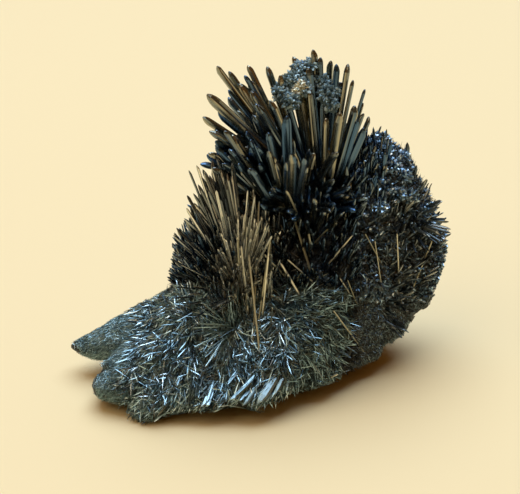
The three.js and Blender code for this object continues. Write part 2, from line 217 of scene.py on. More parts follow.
def within_outline(points):
    """Whether points are seen inside the outline: a level line to the right of such a point crosses the
    outline an odd number of times."""
    column, row = pictured(points)
    odd = np.zeros(len(points), bool)
    for (c0, r0), (c1, r1) in zip(OUTLINE, np.roll(OUTLINE, -1, axis=0)):
        spans = (r0 > row) != (r1 > row)
        odd ^= spans & (column < c0 + (row - r0) * (c1 - c0) / (r1 - r0 if r1 != r0 else 1))
    return odd


def unit(vectors):
    """Vectors divided by their lengths."""
    return vectors / np.maximum(np.linalg.norm(vectors, axis=-1, keepdims=True), 1e-9)


def heading(bearing, rise):
    """Unit vectors from bearings and rises in degrees."""
    around, over = np.radians(bearing), np.radians(rise)
    return np.stack([np.cos(around) * np.cos(over), np.sin(around) * np.cos(over), np.sin(over)], axis=-1)


# Large uneven numbers that turn a corner of the noise's grid into a chance value.
NOISE_STRIDES = np.array([127.1, 311.7, 74.7])
NOISE_SEED_STEP = 53.7
NOISE_STRETCH = 43758.5453


def noise(points, cell, seed):
    """Value noise from -1 to 1: chance heights at the corners of cubes of that size, smoothly blended."""
    place = points / cell
    low = np.floor(place)
    part = place - low
    blend = part * part * (3 - 2 * part)
    total = np.zeros(len(points))
    for corner in itertools.product((0, 1), repeat=3):
        wave = np.sin((low + corner) @ NOISE_STRIDES + NOISE_SEED_STEP * seed) * NOISE_STRETCH
        weight = np.prod(np.where(np.array(corner) == 1, blend, 1 - blend), axis=1)
        total += weight * (2 * (wave - np.floor(wave)) - 1)
    return total


def grid_triangles(rings, sides):
    """Triangles of a tube of rings of points, each ring closed on itself."""
    ring, side = np.meshgrid(np.arange(rings - 1), np.arange(sides), indexing="ij")
    a = ring * sides + side
    b = ring * sides + (side + 1) % sides
    quads = np.stack([a, b, b + sides, a + sides], axis=-1).reshape(-1, 4)
    return np.concatenate([quads[:, [0, 1, 2]], quads[:, [0, 2, 3]]])


def closed_tube(rings):
    """Points and triangles of a tube from an array of rings (ring, side, xyz), closed by a point at
    each end."""
    count, sides, _ = rings.shape
    points = np.concatenate([rings.reshape(-1, 3), rings[:1].mean(axis=1), rings[-1:].mean(axis=1)])
    side = np.arange(sides)
    after = (side + 1) % sides
    last = (count - 1) * sides
    start = np.stack([after, side, np.full(sides, count * sides)], axis=1)
    end = np.stack([last + side, last + after, np.full(sides, count * sides + 1)], axis=1)
    return points, np.concatenate([grid_triangles(count, sides), start, end])


def block_surface():
    """The matrix block as a sphere grid: along each direction from the heart, the reach is the inverse
    of a high-power sum of the faces' presses, plus the CAD's low swells, cut flat at the ground."""
    rise = np.linspace(-HIGHEST_RING, HIGHEST_RING, BLOCK_RINGS)[:, None]
    bearing = np.linspace(0, 360, BLOCK_SIDES, endpoint=False)[None, :]
    direction = heading(*np.broadcast_arrays(bearing, rise))
    normals = heading(FACES[:, 0], FACES[:, 1])
    press = np.maximum(direction @ normals.T / FACES[:, 2], 0) ** EDGE_SHARPNESS
    reach = (press.sum(axis=-1) + 1e-30) ** (-1 / EDGE_SHARPNESS)
    p = HEART + ROW_ORIGIN + direction * reach[..., None]
    x, y, z = p[..., 0], p[..., 1], p[..., 2]
    swell = 0.9 * (np.sin(0.31 * x + 1.3) * np.sin(0.37 * y + 0.4)
                   + 0.7 * np.sin(0.53 * x + 0.47 * z + 2.1) * np.sin(0.61 * y - 0.29 * z))
    surface = HEART + direction * (reach + swell - ROCK_SINK)[..., None]
    surface[..., 2] = np.maximum(surface[..., 2], 0)
    return closed_tube(surface)


def toe_surface(root, tip, wide, high, blunt):
    """A toe as rings along the line from root to tip, that shrink by a power of what is left of the way."""
    start, end = seen(*root), seen(*tip)
    along = unit(end - start)
    level = unit(np.cross([0, 0, 1], along))
    over = np.cross(along, level)
    way = np.linspace(0, TOE_END, TOE_RINGS)[:, None]
    angle = np.linspace(0, 2 * math.pi, TOE_SIDES, endpoint=False)[None, :]
    size = ((1 - way) ** blunt)[..., None]
    centre = start + (end - start) * way[..., None]
    oval = wide * np.cos(angle)[..., None] * level + high * np.sin(angle)[..., None] * over
    rings = centre + size * oval
    rings[..., 2] = np.maximum(rings[..., 2], 0)
    return closed_tube(rings)


def joined(parts):
    """Several (points, triangles) as one."""
    offsets = np.cumsum([0] + [len(points) for points, _ in parts[:-1]])
    points = np.concatenate([points for points, _ in parts])
    triangles = np.concatenate([triangles + offset for (_, triangles), offset in zip(parts, offsets)])
    return points, triangles


def make_mesh(name, points, triangles, smooth=False, **attributes):
    """A mesh from millimetre arrays, with a number per point for each attribute."""
    mesh = bpy.data.meshes.new(name)
    mesh.from_pydata(points * MM, [], triangles)
    for key, values in attributes.items():
        mesh.attributes.new(key, "FLOAT", "POINT").data.foreach_set("value", values.astype(np.float32))
    if smooth:
        mesh.shade_smooth()
    return mesh


def add_piece(mesh, material, slot, *replaced):
    """An object for a finished mesh, that rides with the specimen and stands for CAD nodes."""
    piece = bpy.data.objects.new(mesh.name, mesh)
    bpy.context.scene.collection.objects.link(piece)
    mesh.materials.append(material)
    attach(piece, "root")
    if replaced:
        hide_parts(*replaced)


def fused(points, triangles):
    """One closed skin around overlapping surfaces: points, normals and triangles of a voxel remesh."""
    source = bpy.data.objects.new("fusing", make_mesh("fusing", points, triangles))
    bpy.context.scene.collection.objects.link(source)
    remesh = source.modifiers.new("skin", "REMESH")
    remesh.mode = "VOXEL"
    remesh.voxel_size = VOXEL * MM
    evaluated = source.evaluated_get(bpy.context.evaluated_depsgraph_get())
    skin = bpy.data.meshes.new_from_object(evaluated)
    skin.calc_loop_triangles()
    points = np.empty(len(skin.vertices) * 3, np.float32)
    skin.vertices.foreach_get("co", points)
    normals = np.empty(len(skin.vertices) * 3, np.float32)
    skin.vertices.foreach_get("normal", normals)
    triangles = np.empty(len(skin.loop_triangles) * 3, np.int32)
    skin.loop_triangles.foreach_get("vertices", triangles)
    bpy.data.objects.remove(source)
    bpy.data.meshes.remove(skin)
    return points.reshape(-1, 3) / MM, normals.reshape(-1, 3).astype(float), triangles.reshape(-1, 3)


# Stations along a crystal as (place, size): 0 to 1 runs along the body, 1 to 2 along the point.
PRISM_STATIONS = [(0, 1.0), (0.5, 1.0), (1, 0.97), (1.35, 0.86), (1.7, 0.6), (1.92, 0.28)]
SPLINTER_STATIONS = [(0, 1.0), (0.6, 1.0), (1, 0.9), (1.6, 0.55)]
NEEDLE_STATIONS = [(0, 0.85), (1, 1.0)]
SPIKE_STATIONS = [(0, 1.0)]
GRAIN_STATIONS = [(0, 1.0), (1, 0.95)]
# Sides around a crystal.
PRISM_SIDES = 16
SPLINTER_SIDES = 10
NEEDLE_SIDES = 8
THIN_SIDES = 6
RAY_SIDES = 5
GRAIN_SIDES = 5
FELT_SIDES = 3
COARSE_GROOVES, FINE_GROOVES = 5, 8  # grooves around a crystal
FINE_GROOVE_DEPTH = 0.8  # compared with the coarse ones
LONGEST_POINT = 0.35  # a crystal's point takes at most this share of its length
FACE_SCATTER = 0.22  # how far flat sides stray from the direction that they turn to
TIP_SLANT = 0.5  # how far a tip lies beside the middle, as a share of the half width
FIRST_SHARE = 0.06  # a bundle's crystals start this share of the way from its heart
SHORTEST_FILL = 0.5  # filling crystals reach from this share of their spray's length to all of it
BESIDE = 0.55  # a companion's distance, as a share of its neighbour's width
COMPANION_LENGTHS = (0.55, 0.93)  # shares of its neighbour's length and width
COMPANION_WIDTHS = (0.5, 0.9)


def crystals(group, tone, sides, stations, flat=0.62, groove=0.0, point=1.2, streak=0.0, face=None):
    """Crystals as sections carried along straight lines from base to tip: at each station an oval of
    that many sides, its radius rippled by lengthwise grooves, shrinking to the tip. The flat side turns
    by chance, or towards a face direction. Returns points and triangles, and for each point the
    crystal's tone, streaked along its length, and the share of its length."""
    base, tip, width = group
    count = len(base)
    axis = tip - base
    length = np.linalg.norm(axis, axis=1)
    along = axis / length[:, None]
    chance_face = random.normal(size=(count, 3))
    turned_to = chance_face if face is None else face + FACE_SCATTER * chance_face
    sideways = unit(np.cross(along, turned_to))
    edgeways = np.cross(along, sideways)
    half = width[:, None] / 2
    point_length = np.minimum(point * width, LONGEST_POINT * length)
    angle = np.linspace(0, 2 * math.pi, sides, endpoint=False)[None, :]
    turn = random.uniform(0, 2 * math.pi, (count, 3))
    coarse_wave = np.cos(COARSE_GROOVES * angle + turn[:, :1])
    fine_wave = FINE_GROOVE_DEPTH * np.cos(FINE_GROOVES * angle + turn[:, 1:2])
    ripple = 1 + groove * (coarse_wave + fine_wave) / (1 + FINE_GROOVE_DEPTH)
    across = (half * ripple * np.cos(angle))[..., None] * sideways[:, None, :]
    across = across + (half * flat * ripple * np.sin(angle))[..., None] * edgeways[:, None, :]
    slant = random.uniform(-TIP_SLANT, TIP_SLANT, count)[:, None] * half * sideways
    rings = []
    shares = []
    for place, size in stations:
        way = np.minimum(place, 1) * (length - point_length) + max(place - 1, 0) * point_length
        centre = base + along * way[:, None] + slant * max(place - 1, 0)
        rings.append(centre[:, None, :] + across * size)
        shares.append(np.repeat((way / length)[:, None], sides, axis=1))
    body = np.stack(rings, axis=1).reshape(count, -1, 3)
    ends = np.stack([base, tip + slant], axis=1)
    points = np.concatenate([body, ends], axis=1)
    body_share = np.stack(shares, axis=1).reshape(count, -1)
    share = np.concatenate([body_share, np.tile([0.0, 1.0], (count, 1))], axis=1)
    _, one = closed_tube(np.zeros((len(stations), sides, 3)))
    triangles = one[None] + (np.arange(count) * points.shape[1])[:, None, None]
    streaks = tone[:, None] + streak * random.normal(size=(count, sides))
    tones = np.concatenate([np.tile(streaks, (1, len(stations))), np.stack([tone, tone], axis=1)], axis=1)
    return points.reshape(-1, 3), triangles.reshape(-1, 3), tones.reshape(-1), share.reshape(-1)


def bundle(start, tips):
    """Bases, tips and widths of a bundle's drawn crystals."""
    tips = np.array(tips, float)
    ends = seen(tips[:, 0], tips[:, 1], tips[:, 2])
    first = seen(*start)
    return first + FIRST_SHARE * (ends - first), ends, tips[:, 3]


def stacked(*groups):
    """Several groups of bases, tips and widths as one."""
    return tuple(np.concatenate(parts) for parts in zip(*groups))


def filling(heart, axis, count, lean, upright, leaning):
    """Bases and tips of filling crystals of a spray, by chance about its axis. Their length runs from that
    of upright ones to that of leaning ones, by how far they lean, times a chance share."""
    z = unit(np.asarray(axis, float))
    x = unit(np.cross([0.0, 1.0, 0.0], z))
    y = np.cross(z, x)
    share = np.sqrt(random.uniform(size=count))
    away = heading(random.uniform(0, 360, count), 90 - lean * share)
    direction = away @ np.stack([x, y, z])
    length = (upright + (leaning - upright) * share) * random.uniform(SHORTEST_FILL, 1.0, count)
    return np.broadcast_to(seen(*heart), direction.shape), seen(*heart) + direction * length[:, None]


def with_companions(base, tip, width, number):
    """Each crystal with thinner, shorter ones grown against its side."""
    bases, tips, widths = [base], [tip], [width]
    for _ in range(number):
        aside = unit(np.cross(tip - base, random.normal(size=base.shape))) * (width * BESIDE)[:, None]
        shorter = random.uniform(*COMPANION_LENGTHS, len(base))[:, None]
        bases.append(base + aside)
        tips.append(base + (tip - base) * shorter + aside)
        widths.append(width * random.uniform(*COMPANION_WIDTHS, len(base)))
    return np.concatenate(bases), np.concatenate(tips), np.concatenate(widths)


def colour(hex_code):
    """A colour as it looks on a screen, turned into light values."""
    channels = np.array([int(hex_code[i:i + 2], 16) for i in (1, 3, 5)]) / 255
    linear = np.where(channels <= 0.04045, channels / 12.92, ((channels + 0.055) / 1.055) ** 2.4)
    return (*linear.tolist(), 1.0)


def new_material(name):
    """A material and its shader."""
    material = bpy.data.materials.new(name)
    material.use_nodes = True
    return material, material.node_tree.nodes["Principled BSDF"]


def add_node(material, kind, inputs=(), **settings):
    """A node of a material with its settings, and inputs given as values or as other nodes' outputs."""
    node = material.node_tree.nodes.new(kind)
    for key, value in settings.items():
        setattr(node, key, value)
    for key, value in dict(inputs).items():
        if isinstance(value, bpy.types.NodeSocket):
            material.node_tree.links.new(value, node.inputs[key])
        else:
            node.inputs[key].default_value = value
    return node


def crystal_material(name, shades, roughness, metallic, painted_root_shade, painted_shade_share=0.55):
    """Metallic crystal: its tone picks a shade, and painted shade darkens it towards its root, where the
    crystals crowd together.
    """
    material, shader = new_material(name)
    links = material.node_tree.links
    tone = add_node(material, "ShaderNodeAttribute", attribute_name="tone")
    ramp = add_node(material, "ShaderNodeValToRGB", {"Fac": tone.outputs["Fac"]})
    stops = ramp.color_ramp.elements  # a new ramp has two
    for index, (place, hex_code) in enumerate(shades):
        stop = stops[index] if index < 2 else stops.new(place)
        stop.position = place
        stop.color = colour(hex_code)
    share = add_node(material, "ShaderNodeAttribute", attribute_name="share")
    # Painted shade: the colour darkens towards the root, up to full brightness at this share of the length.
    painted_shade_factor = add_node(material, "ShaderNodeMapRange", {
        "Value": share.outputs["Fac"], "From Min": 0.0, "From Max": painted_shade_share, "To Min": painted_root_shade,
        "To Max": 1.0})
    shade = add_node(material, "ShaderNodeVectorMath", {
        0: ramp.outputs["Color"], "Scale": painted_shade_factor.outputs["Result"]}, operation="SCALE")
    links.new(shade.outputs["Vector"], shader.inputs["Base Color"])
    shader.inputs["Metallic"].default_value = metallic
    shader.inputs["Roughness"].default_value = roughness
    return material


def rock_material():
    """Fine-grained dark rock with a dull metallic sheen, in patches from black to grey-green; its darkness
    is partly painted shade for the gaps of the felt over it.
    """
    material, shader = new_material("grey-green matrix rock")
    place = add_node(material, "ShaderNodeTexCoord")
    grain = add_node(material, "ShaderNodeTexNoise", {
        "Vector": place.outputs["Object"], "Scale": 1 / (ROCK_LUMP * MM), "Detail": 8.0, "Roughness": 0.7})
    ramp = add_node(material, "ShaderNodeValToRGB", {"Fac": grain.outputs["Fac"]})
    # Dark stops: partly the rock's own colour and partly painted shade between the felt's needles.
    ramp.color_ramp.elements[0].position = 0.35
    ramp.color_ramp.elements[0].color = colour("#151615")
    ramp.color_ramp.elements[1].position = 0.72
    ramp.color_ramp.elements[1].color = colour("#484b45")
    fine = add_node(material, "ShaderNodeTexNoise", {
        "Vector": place.outputs["Object"], "Scale": 1 / (ROCK_GRAIN * MM), "Detail": 4.0})
    bump = add_node(material, "ShaderNodeBump", {
        "Height": fine.outputs["Fac"], "Strength": 0.5, "Distance": 0.3 * MM})
    material.node_tree.links.new(ramp.outputs["Color"], shader.inputs["Base Color"])
    material.node_tree.links.new(bump.outputs["Normal"], shader.inputs["Normal"])
    shader.inputs["Metallic"].default_value = 0.2
    shader.inputs["Roughness"].default_value = 0.55
    return material


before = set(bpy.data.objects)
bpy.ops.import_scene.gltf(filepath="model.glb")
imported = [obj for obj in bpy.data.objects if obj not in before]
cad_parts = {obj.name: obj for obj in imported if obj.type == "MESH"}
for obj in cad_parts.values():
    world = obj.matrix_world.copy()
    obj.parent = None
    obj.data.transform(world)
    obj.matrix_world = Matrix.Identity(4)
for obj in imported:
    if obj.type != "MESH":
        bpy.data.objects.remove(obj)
size_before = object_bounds()
box_low, box_high = (np.array(corner) / MM for corner in size_before)

# Prisms of antimony sulphide: steel grey, some golden-brown, partly tarnish and partly a painted reflection
# of the cream paper.
prism_material = crystal_material(
    "dark stibnite prism",
    [(0.0, "#45607b"), (1.0, "#a9a38c"), (0.4, "#5e7486"), (0.75, "#82867d")],
    roughness=0.25, metallic=1.0, painted_root_shade=0.14)
# Thin prisms of the fan, from grey to golden.
fan_material = crystal_material(
    "golden stibnite needle",
    [(0.0, "#3d454b"), (1.0, "#fdf9e8"), (0.45, "#a7ada8"), (0.75, "#e7e3d2")],
    roughness=0.27, metallic=0.9, painted_root_shade=0.6, painted_shade_share=0.35)
# Felt of hair-fine needles on the front, black to silver.
felt_material = crystal_material(
    "silver stibnite felt",
    [(0.0, "#2b373c"), (1.0, "#eaf8f9"), (0.5, "#88a4ab"), (0.85, "#bed8dc")],
    roughness=0.29, metallic=0.95, painted_root_shade=0.28)
# Matted felt of the toes, a duller grey-green.
toe_felt_material = crystal_material(
    "grey-green stibnite felt",
    [(0.0, "#4a5f62"), (1.0, "#dcf2f4"), (0.5, "#8aa9ad"), (0.85, "#b8d6d8")],
    roughness=0.4, metallic=0.85, painted_root_shade=0.45)
# Short grains of the low right, duller and browner.
grain_material = crystal_material(
    "brown-grey mineral grain",
    [(0.0, "#4a575b"), (1.0, "#d4e4e8"), (0.5, "#80939a"), (0.85, "#aec1c6")],
    roughness=0.42, metallic=0.8, painted_root_shade=0.5)
# Short dark bristles of the right flank and the back.
bristle_material = crystal_material(
    "dark stibnite bristle",
    [(0.0, "#31373b"), (1.0, "#d2dde2"), (0.5, "#667176"), (0.85, "#a2a398")],
    roughness=0.33, metallic=1.0, painted_root_shade=0.35)
# Flat blades at the foot of the front, bright and bluish.
blade_material = crystal_material(
    "bright stibnite blade",
    [(0.0, "#6c858d"), (1.0, "#b2ced6")],
    roughness=0.38, metallic=1.0, painted_root_shade=0.7)
# Druse of small crystals on the right crest, sparkling and blue-grey: partly its own colour and partly a
# painted reflection of bluish light.
druse_material = crystal_material(
    "blue-grey druse",
    [(0.0, "#3f4f5b"), (1.0, "#f0faff"), (0.5, "#7c98ad"), (0.85, "#b4cede")],
    roughness=0.28, metallic=0.9, painted_root_shade=0.5)
# Duller grey crust of fine grains on the prisms of the summit.
crust_material = crystal_material(
    "grey mineral crust",
    [(0.0, "#3c5056"), (1.0, "#c4d8da"), (0.5, "#718a90"), (0.85, "#9db5b9")],
    roughness=0.45, metallic=0.4, painted_root_shade=0.5)
# Needles that stand singly, straw-yellow: partly tarnish and partly a painted reflection of the cream paper.
straw_material = crystal_material(
    "straw-yellow stibnite needle",
    [(0.0, "#b3ae90"), (1.0, "#f0ecd4")],
    roughness=0.36, metallic=0.8, painted_root_shade=0.75)

# The rock: one skin around the block and the toes, roughened by noise along its normals.
rock, normals, rock_triangles = fused(*joined([block_surface()] + [toe_surface(*toe) for toe in TOES]))
rock_column = pictured(rock)[0]
lifted = np.clip(rock[:, 2] / GROUND_FADE, 0, 1)
roughness = sum(height * noise(rock, size, seed) for seed, (height, size) in enumerate(ROUGHNESS, 1))
calm = np.where(rock_column < CALM_LEFT_OF, TOE_CALM, 1.0)
too_far = ~within_outline(rock) & (rock_column > TRIM_RIGHT_OF)
rock = rock + normals * (roughness * calm * lifted - OUTLINE_TRIM * too_far)[:, None]
rock = np.clip(rock, box_low, box_high)
rock_mesh = make_mesh("matrix_rock", rock, rock_triangles, smooth=True)
add_piece(rock_mesh, rock_material(), "felted_matrix", "matrix")

# Feet of needles, spread over the rock by area, more closely on the toes and the front.
FOOT_COUNT = 67000
TURNED_AWAY = -0.15  # surfaces that face less than this towards the viewer count as the back
BACK_DENSITY = 0.75
TOE_DENSITY = 5.0
TOE_COLUMNS = 155  # the toes lie left of this column
FRONT_DENSITY = 2.0
FRONT_ROWS = 280  # the felted front lies below this row
FLANK_DENSITY = 1.5
LOWEST_FOOT = 0.6
corners = rock[rock_triangles]
cross = np.cross(corners[:, 1] - corners[:, 0], corners[:, 2] - corners[:, 0])
area = np.linalg.norm(cross, axis=1)
middle_column, middle_row = pictured(corners.mean(axis=1))
density = np.select(
    [unit(cross) @ TO_VIEWER < TURNED_AWAY, middle_column < TOE_COLUMNS, middle_row > FRONT_ROWS],
    [BACK_DENSITY, TOE_DENSITY, FRONT_DENSITY], FLANK_DENSITY)
share = area * density * (corners[:, :, 2].max(axis=1) > LOWEST_FOOT)
chosen = random.choice(len(area), FOOT_COUNT, p=share / share.sum())
mix = random.dirichlet([1, 1, 1], len(chosen))
feet = np.einsum("nk,nkd->nd", mix, corners[chosen])
out = unit(cross[chosen])
column, row = pictured(feet)
in_front = out @ TO_VIEWER > TURNED_AWAY
count = len(feet)

# Needles lie outwards from the nearest place that they radiate from, and slant down the front
# to both sides of a parting.
SLANT = math.radians(52)
SLANT_SHARE = 0.8
PARTING = 285  # column
FOCUS_DEPTH = 1.5
FOCI = [(232, 326), (284, 318), (372, 250), (185, 318), (415, 215)]
BACK_FOCUS = np.array([5.0, 20.0, 24.0])
OUT_OF_REACH = 1e6  # added to the distance of feet on the back


def foot_at(focus_column, focus_row):
    """Which foot is seen nearest to a place of the photograph."""
    return np.argmin(np.hypot(column - focus_column, row - focus_row) + np.where(in_front, 0, OUT_OF_REACH))


def flattened(vectors):
    """Unit vectors along the rock's surface, nearest to the given ones."""
    return unit(vectors - (vectors * out).sum(axis=1, keepdims=True) * out)


focus_index = [foot_at(*focus) for focus in FOCI]
focus_feet = np.concatenate([feet[focus_index] - FOCUS_DEPTH * out[focus_index], [BACK_FOCUS]])
nearest = np.argmin(np.linalg.norm(feet[:, None] - focus_feet[None], axis=2), axis=1)
outward = flattened(feet - focus_feet[nearest])
side = np.where(column < PARTING, -1, 1)[:, None]
slant = side * math.cos(SLANT) * ACROSS - math.sin(SLANT) * PICTURE_UP
flow = flattened(outward + np.where(in_front, SLANT_SHARE, 0.0)[:, None] * slant)
scatter = flattened(random.normal(size=feet.shape))

# Regions of the felt, by columns and rows of edges that wander in lobes.
LOBE = 4.0
TOE_EDGE = 146
TOE_WANDER = 14
TOE_BLEND = 22  # within so many columns, needles of the toes and of the apron mix
APRON_RIGHT = 345
APRON_TOP = 288
GRAINS_LEFT = 362
GRAINS_TOP = 282
SIDE_WANDER = 10
TOP_WANDER = 14
toe_edge = TOE_EDGE + TOE_WANDER * noise(feet, LOBE, 5) + random.uniform(-TOE_BLEND, TOE_BLEND, count)
fine = in_front & (column < toe_edge)
apron = in_front & ~fine & (column < APRON_RIGHT + SIDE_WANDER * noise(feet, LOBE, 6)) & (row > APRON_TOP)
grainy = in_front & (column > GRAINS_LEFT + SIDE_WANDER * noise(feet, LOBE, 7))
grainy &= row > GRAINS_TOP + TOP_WANDER * noise(feet, LOBE, 8)
apron &= ~grainy
flank = ~fine & ~apron & ~grainy

# How needles differ by region: shortest and longest, thinnest and thickest, and how far they lift.
REGIONS = [
    (fine, (0.8, 2.2), (0.11, 0.19), (0.08, 0.36)),
    (apron, (1.2, 5.0), (0.12, 0.25), (0.04, 0.36)),
    (flank, (0.8, 2.6), (0.14, 0.34), (0.1, 1.0)),
    (grainy, (0.4, 1.0), (0.2, 0.4), (0.1, 1.2)),
]
MORE_SHORT_ONES = 1.7
STRAY = (0.1, 1.5)  # how far needles stray from the flow
FOOT_LIFT = 0.02
BURIED_SHARE = 0.35
length, width, lift = np.zeros((3, count))
for region, lengths, widths, lifts in REGIONS:
    number = region.sum()
    length[region] = lengths[0] + (lengths[1] - lengths[0]) * random.uniform(size=number) ** MORE_SHORT_ONES
    width[region] = random.uniform(*widths, number)
    lift[region] = random.uniform(*lifts, number)
level = unit(flow + random.uniform(*STRAY, count)[:, None] * scatter)
base = feet + FOOT_LIFT * out - BURIED_SHARE * length[:, None] * level
tip = base + unit(level + lift[:, None] * out) * length[:, None]


def trimmed(group):
    """A group of bases, tips and widths, less the crystals whose tips would stand out of the front
    picture's outline."""
    held = within_outline(group[1])
    return tuple(values[held] for values in group)


def even(group, low, high):
    """Tones by chance between two ends."""
    return random.uniform(low, high, len(group[0]))


def add_crystals(name, group, tone, sides, stations, material, slot, *nodes, **shape):
    """One piece made of crystals, kept inside the CAD's box."""
    points, triangles, tone, share = crystals(group, tone, sides, stations, **shape)
    points = np.clip(points, box_low, box_high)
    add_piece(make_mesh(name, points, triangles, tone=tone, share=share), material, slot, *nodes)


# Painted shade: the felt on the right is darkened, its tone cut to a share.
PAINTED_SHADE_FROM = 292  # the felt right of this column is darker
PAINTED_SHADE_TONE = 0.75  # share of its tone that is left there
MORE_DARK_ONES = 1.2
for name, region, material, stations in [
    ("toe_felt", fine, toe_felt_material, SPIKE_STATIONS),
    ("apron_felt", apron, felt_material, NEEDLE_STATIONS),
    ("flank_bristles", flank, bristle_material, SPIKE_STATIONS),
    ("low_right_grains", grainy, grain_material, SPIKE_STATIONS),
]:
    for half in (0, 1):
        which = region & (np.arange(count) % 2 == half)
        felt = trimmed((base[which], tip[which], width[which]))
        # Painted shade on the right of the felt.
        painted_right_shade = np.where(pictured(felt[1])[0] > PAINTED_SHADE_FROM, PAINTED_SHADE_TONE, 1.0)
        tone = painted_right_shade * even(felt, 0, 1) ** MORE_DARK_ONES
        add_crystals(f"{name}_{half + 1}", felt, tone, FELT_SIDES, stations, material, "felted_matrix",
                     flat=0.8, point=4)


BURIED = 1.0  # a thicket's crystals start so far below the surface
ROOT_SHARE = 0.25  # single needles start farther on than they show, by this share of their length
START_SPREAD = 0.5


def patch(left=-np.inf, right=np.inf, top=-np.inf, bottom=np.inf):
    """Which feet are seen between columns and rows of the photograph."""
    return (column > left) & (column < right) & (row > top) & (row < bottom)


def spray_fill(heart, axis, count, widths, **spread):
    """Filling crystals of a spray with chance widths, kept inside the outline."""
    bases, tips = filling(heart, axis, count, **spread)
    return trimmed((bases, tips, random.uniform(*widths, count)))


def thicket(region, number, centre, lengths, widths, scatter_share):
    """Crystals that stand on the rock in a region and point away from a deep centre, with some scatter."""
    picks = random.choice(np.flatnonzero(region), number)
    away = unit(feet[picks] - seen(*centre))
    away = unit(away + scatter_share * random.normal(size=away.shape))
    ends = feet[picks] + away * random.uniform(*lengths, number)[:, None]
    return trimmed((feet[picks] - BURIED * away, ends, random.uniform(*widths, number)))


def laid(needles, lift):
    """Single needles from columns and rows of root and tip. The tip is lifted from the rock towards the
    viewer, and the needle starts on the rock, farther on by a share of its length, so that it shows
    from the root."""
    needles = np.array(needles)
    root, end = needles[:, :2], needles[:, 2:4]
    start = root + ROOT_SHARE * (root - end)
    starts = np.array([foot_at(*place) for place in start])
    ends = np.array([foot_at(*place) for place in end])
    return feet[starts], feet[ends] + lift * TO_VIEWER, needles[:, 4]


def burst(place, number, angles, lengths, widths, lifts):
    """Needles that radiate over the rock from one place, between two angles of the picture in degrees."""
    foot = foot_at(*place)
    angle = np.radians(random.uniform(*angles, number))[:, None]
    level = np.cos(angle) * ACROSS + np.sin(angle) * PICTURE_UP
    level = unit(level - (level @ out[foot])[:, None] * out[foot])
    way = unit(level + random.uniform(*lifts, number)[:, None] * out[foot])
    start = feet[foot] + random.normal(0, START_SPREAD, (number, 3))
    ends = start + way * random.uniform(*lengths, number)[:, None]
    return trimmed((start, ends, random.uniform(*widths, number)))


main_region = patch(left=205, right=352, bottom=225)
fan_region = in_front & patch(left=165, right=285, top=175, bottom=286)
fan_foot_region = in_front & patch(left=212, right=272, top=282, bottom=328)
gold_region = in_front & patch(left=222, right=272, top=225, bottom=302)
crest_region = patch(left=352, bottom=300)
edge_region = in_front & patch(right=236, top=140, bottom=285)
low_front_region = in_front & patch(left=262, right=356, top=205, bottom=290)
crest_prism_region = in_front & patch(left=340, right=386, bottom=215)
flank_region = in_front & patch(left=385, top=190, bottom=330)

# The main spray: drawn prisms, each with a companion, filling prisms and a thicket between them.
drawn_main = stacked(*(bundle(*part) for part in (
    LEFT_WING, WING_FOOT, CROWN, CROWN_MIDDLE, FRONT_BLADES, LOW_FRONT, BACK_PRISMS)))
main_fill = spray_fill(MAIN_HEART, [0, 0, 1], 80, widths=(1.1, 2.0), lean=75, upright=26, leaning=16)
prisms = stacked(with_companions(*drawn_main, 1), main_fill)
add_crystals("main_spray_prisms", prisms, even(prisms, 0, 1), PRISM_SIDES, PRISM_STATIONS,
             prism_material, "stibnite_prisms", "main_crystal_spray",
             groove=0.12, flat=0.78, point=1.0, streak=0.22)
splinters = stacked(
    thicket(main_region, 260, centre=[9, 34, 27], lengths=(2, 7), widths=(0.7, 1.6), scatter_share=0.14),
    thicket(edge_region, 420, centre=[-3, 16, 24], lengths=(2.5, 8), widths=(0.5, 1.1), scatter_share=0.14),
    thicket(low_front_region, 260, centre=[10, 20, 27], lengths=(2.5, 6), widths=(0.3, 0.75),
            scatter_share=0.16),
    thicket(crest_prism_region, 120, centre=[17, 20, 30], lengths=(2, 5), widths=(0.5, 1.2),
            scatter_share=0.14))
# The thicket's tones differ at random but stop short of the brightest, a painted shade for the hollows
# between the prisms.
add_crystals("main_spray_thicket", splinters, even(splinters, 0, 0.8), SPLINTER_SIDES, SPLINTER_STATIONS,
             prism_material, "stibnite_prisms", groove=0.1, streak=0.2)

# The left fan: golden about one place of the photograph, grey towards its edges.
GOLD_COLUMN, GOLD_ROW = 244, 243
GOLD_WIDE, GOLD_HIGH = 28, 52
GREY_TONE = 0.12
GOLD_GAIN = 0.86
TONE_SPREAD = 0.22
FAN_THINNING = 0.7  # a solid of the fan stands for several needles, each thinner by this share


def golden(group):
    """Tones of the fan: a bell curve about the golden place, over the grey tone, with some chance."""
    tip_column, tip_row = pictured(group[1])
    middle = np.exp(-((tip_column - GOLD_COLUMN) / GOLD_WIDE) ** 2 - ((tip_row - GOLD_ROW) / GOLD_HIGH) ** 2)
    return np.clip(GREY_TONE + GOLD_GAIN * middle + random.normal(0, TONE_SPREAD, len(tip_column)), 0, 1)


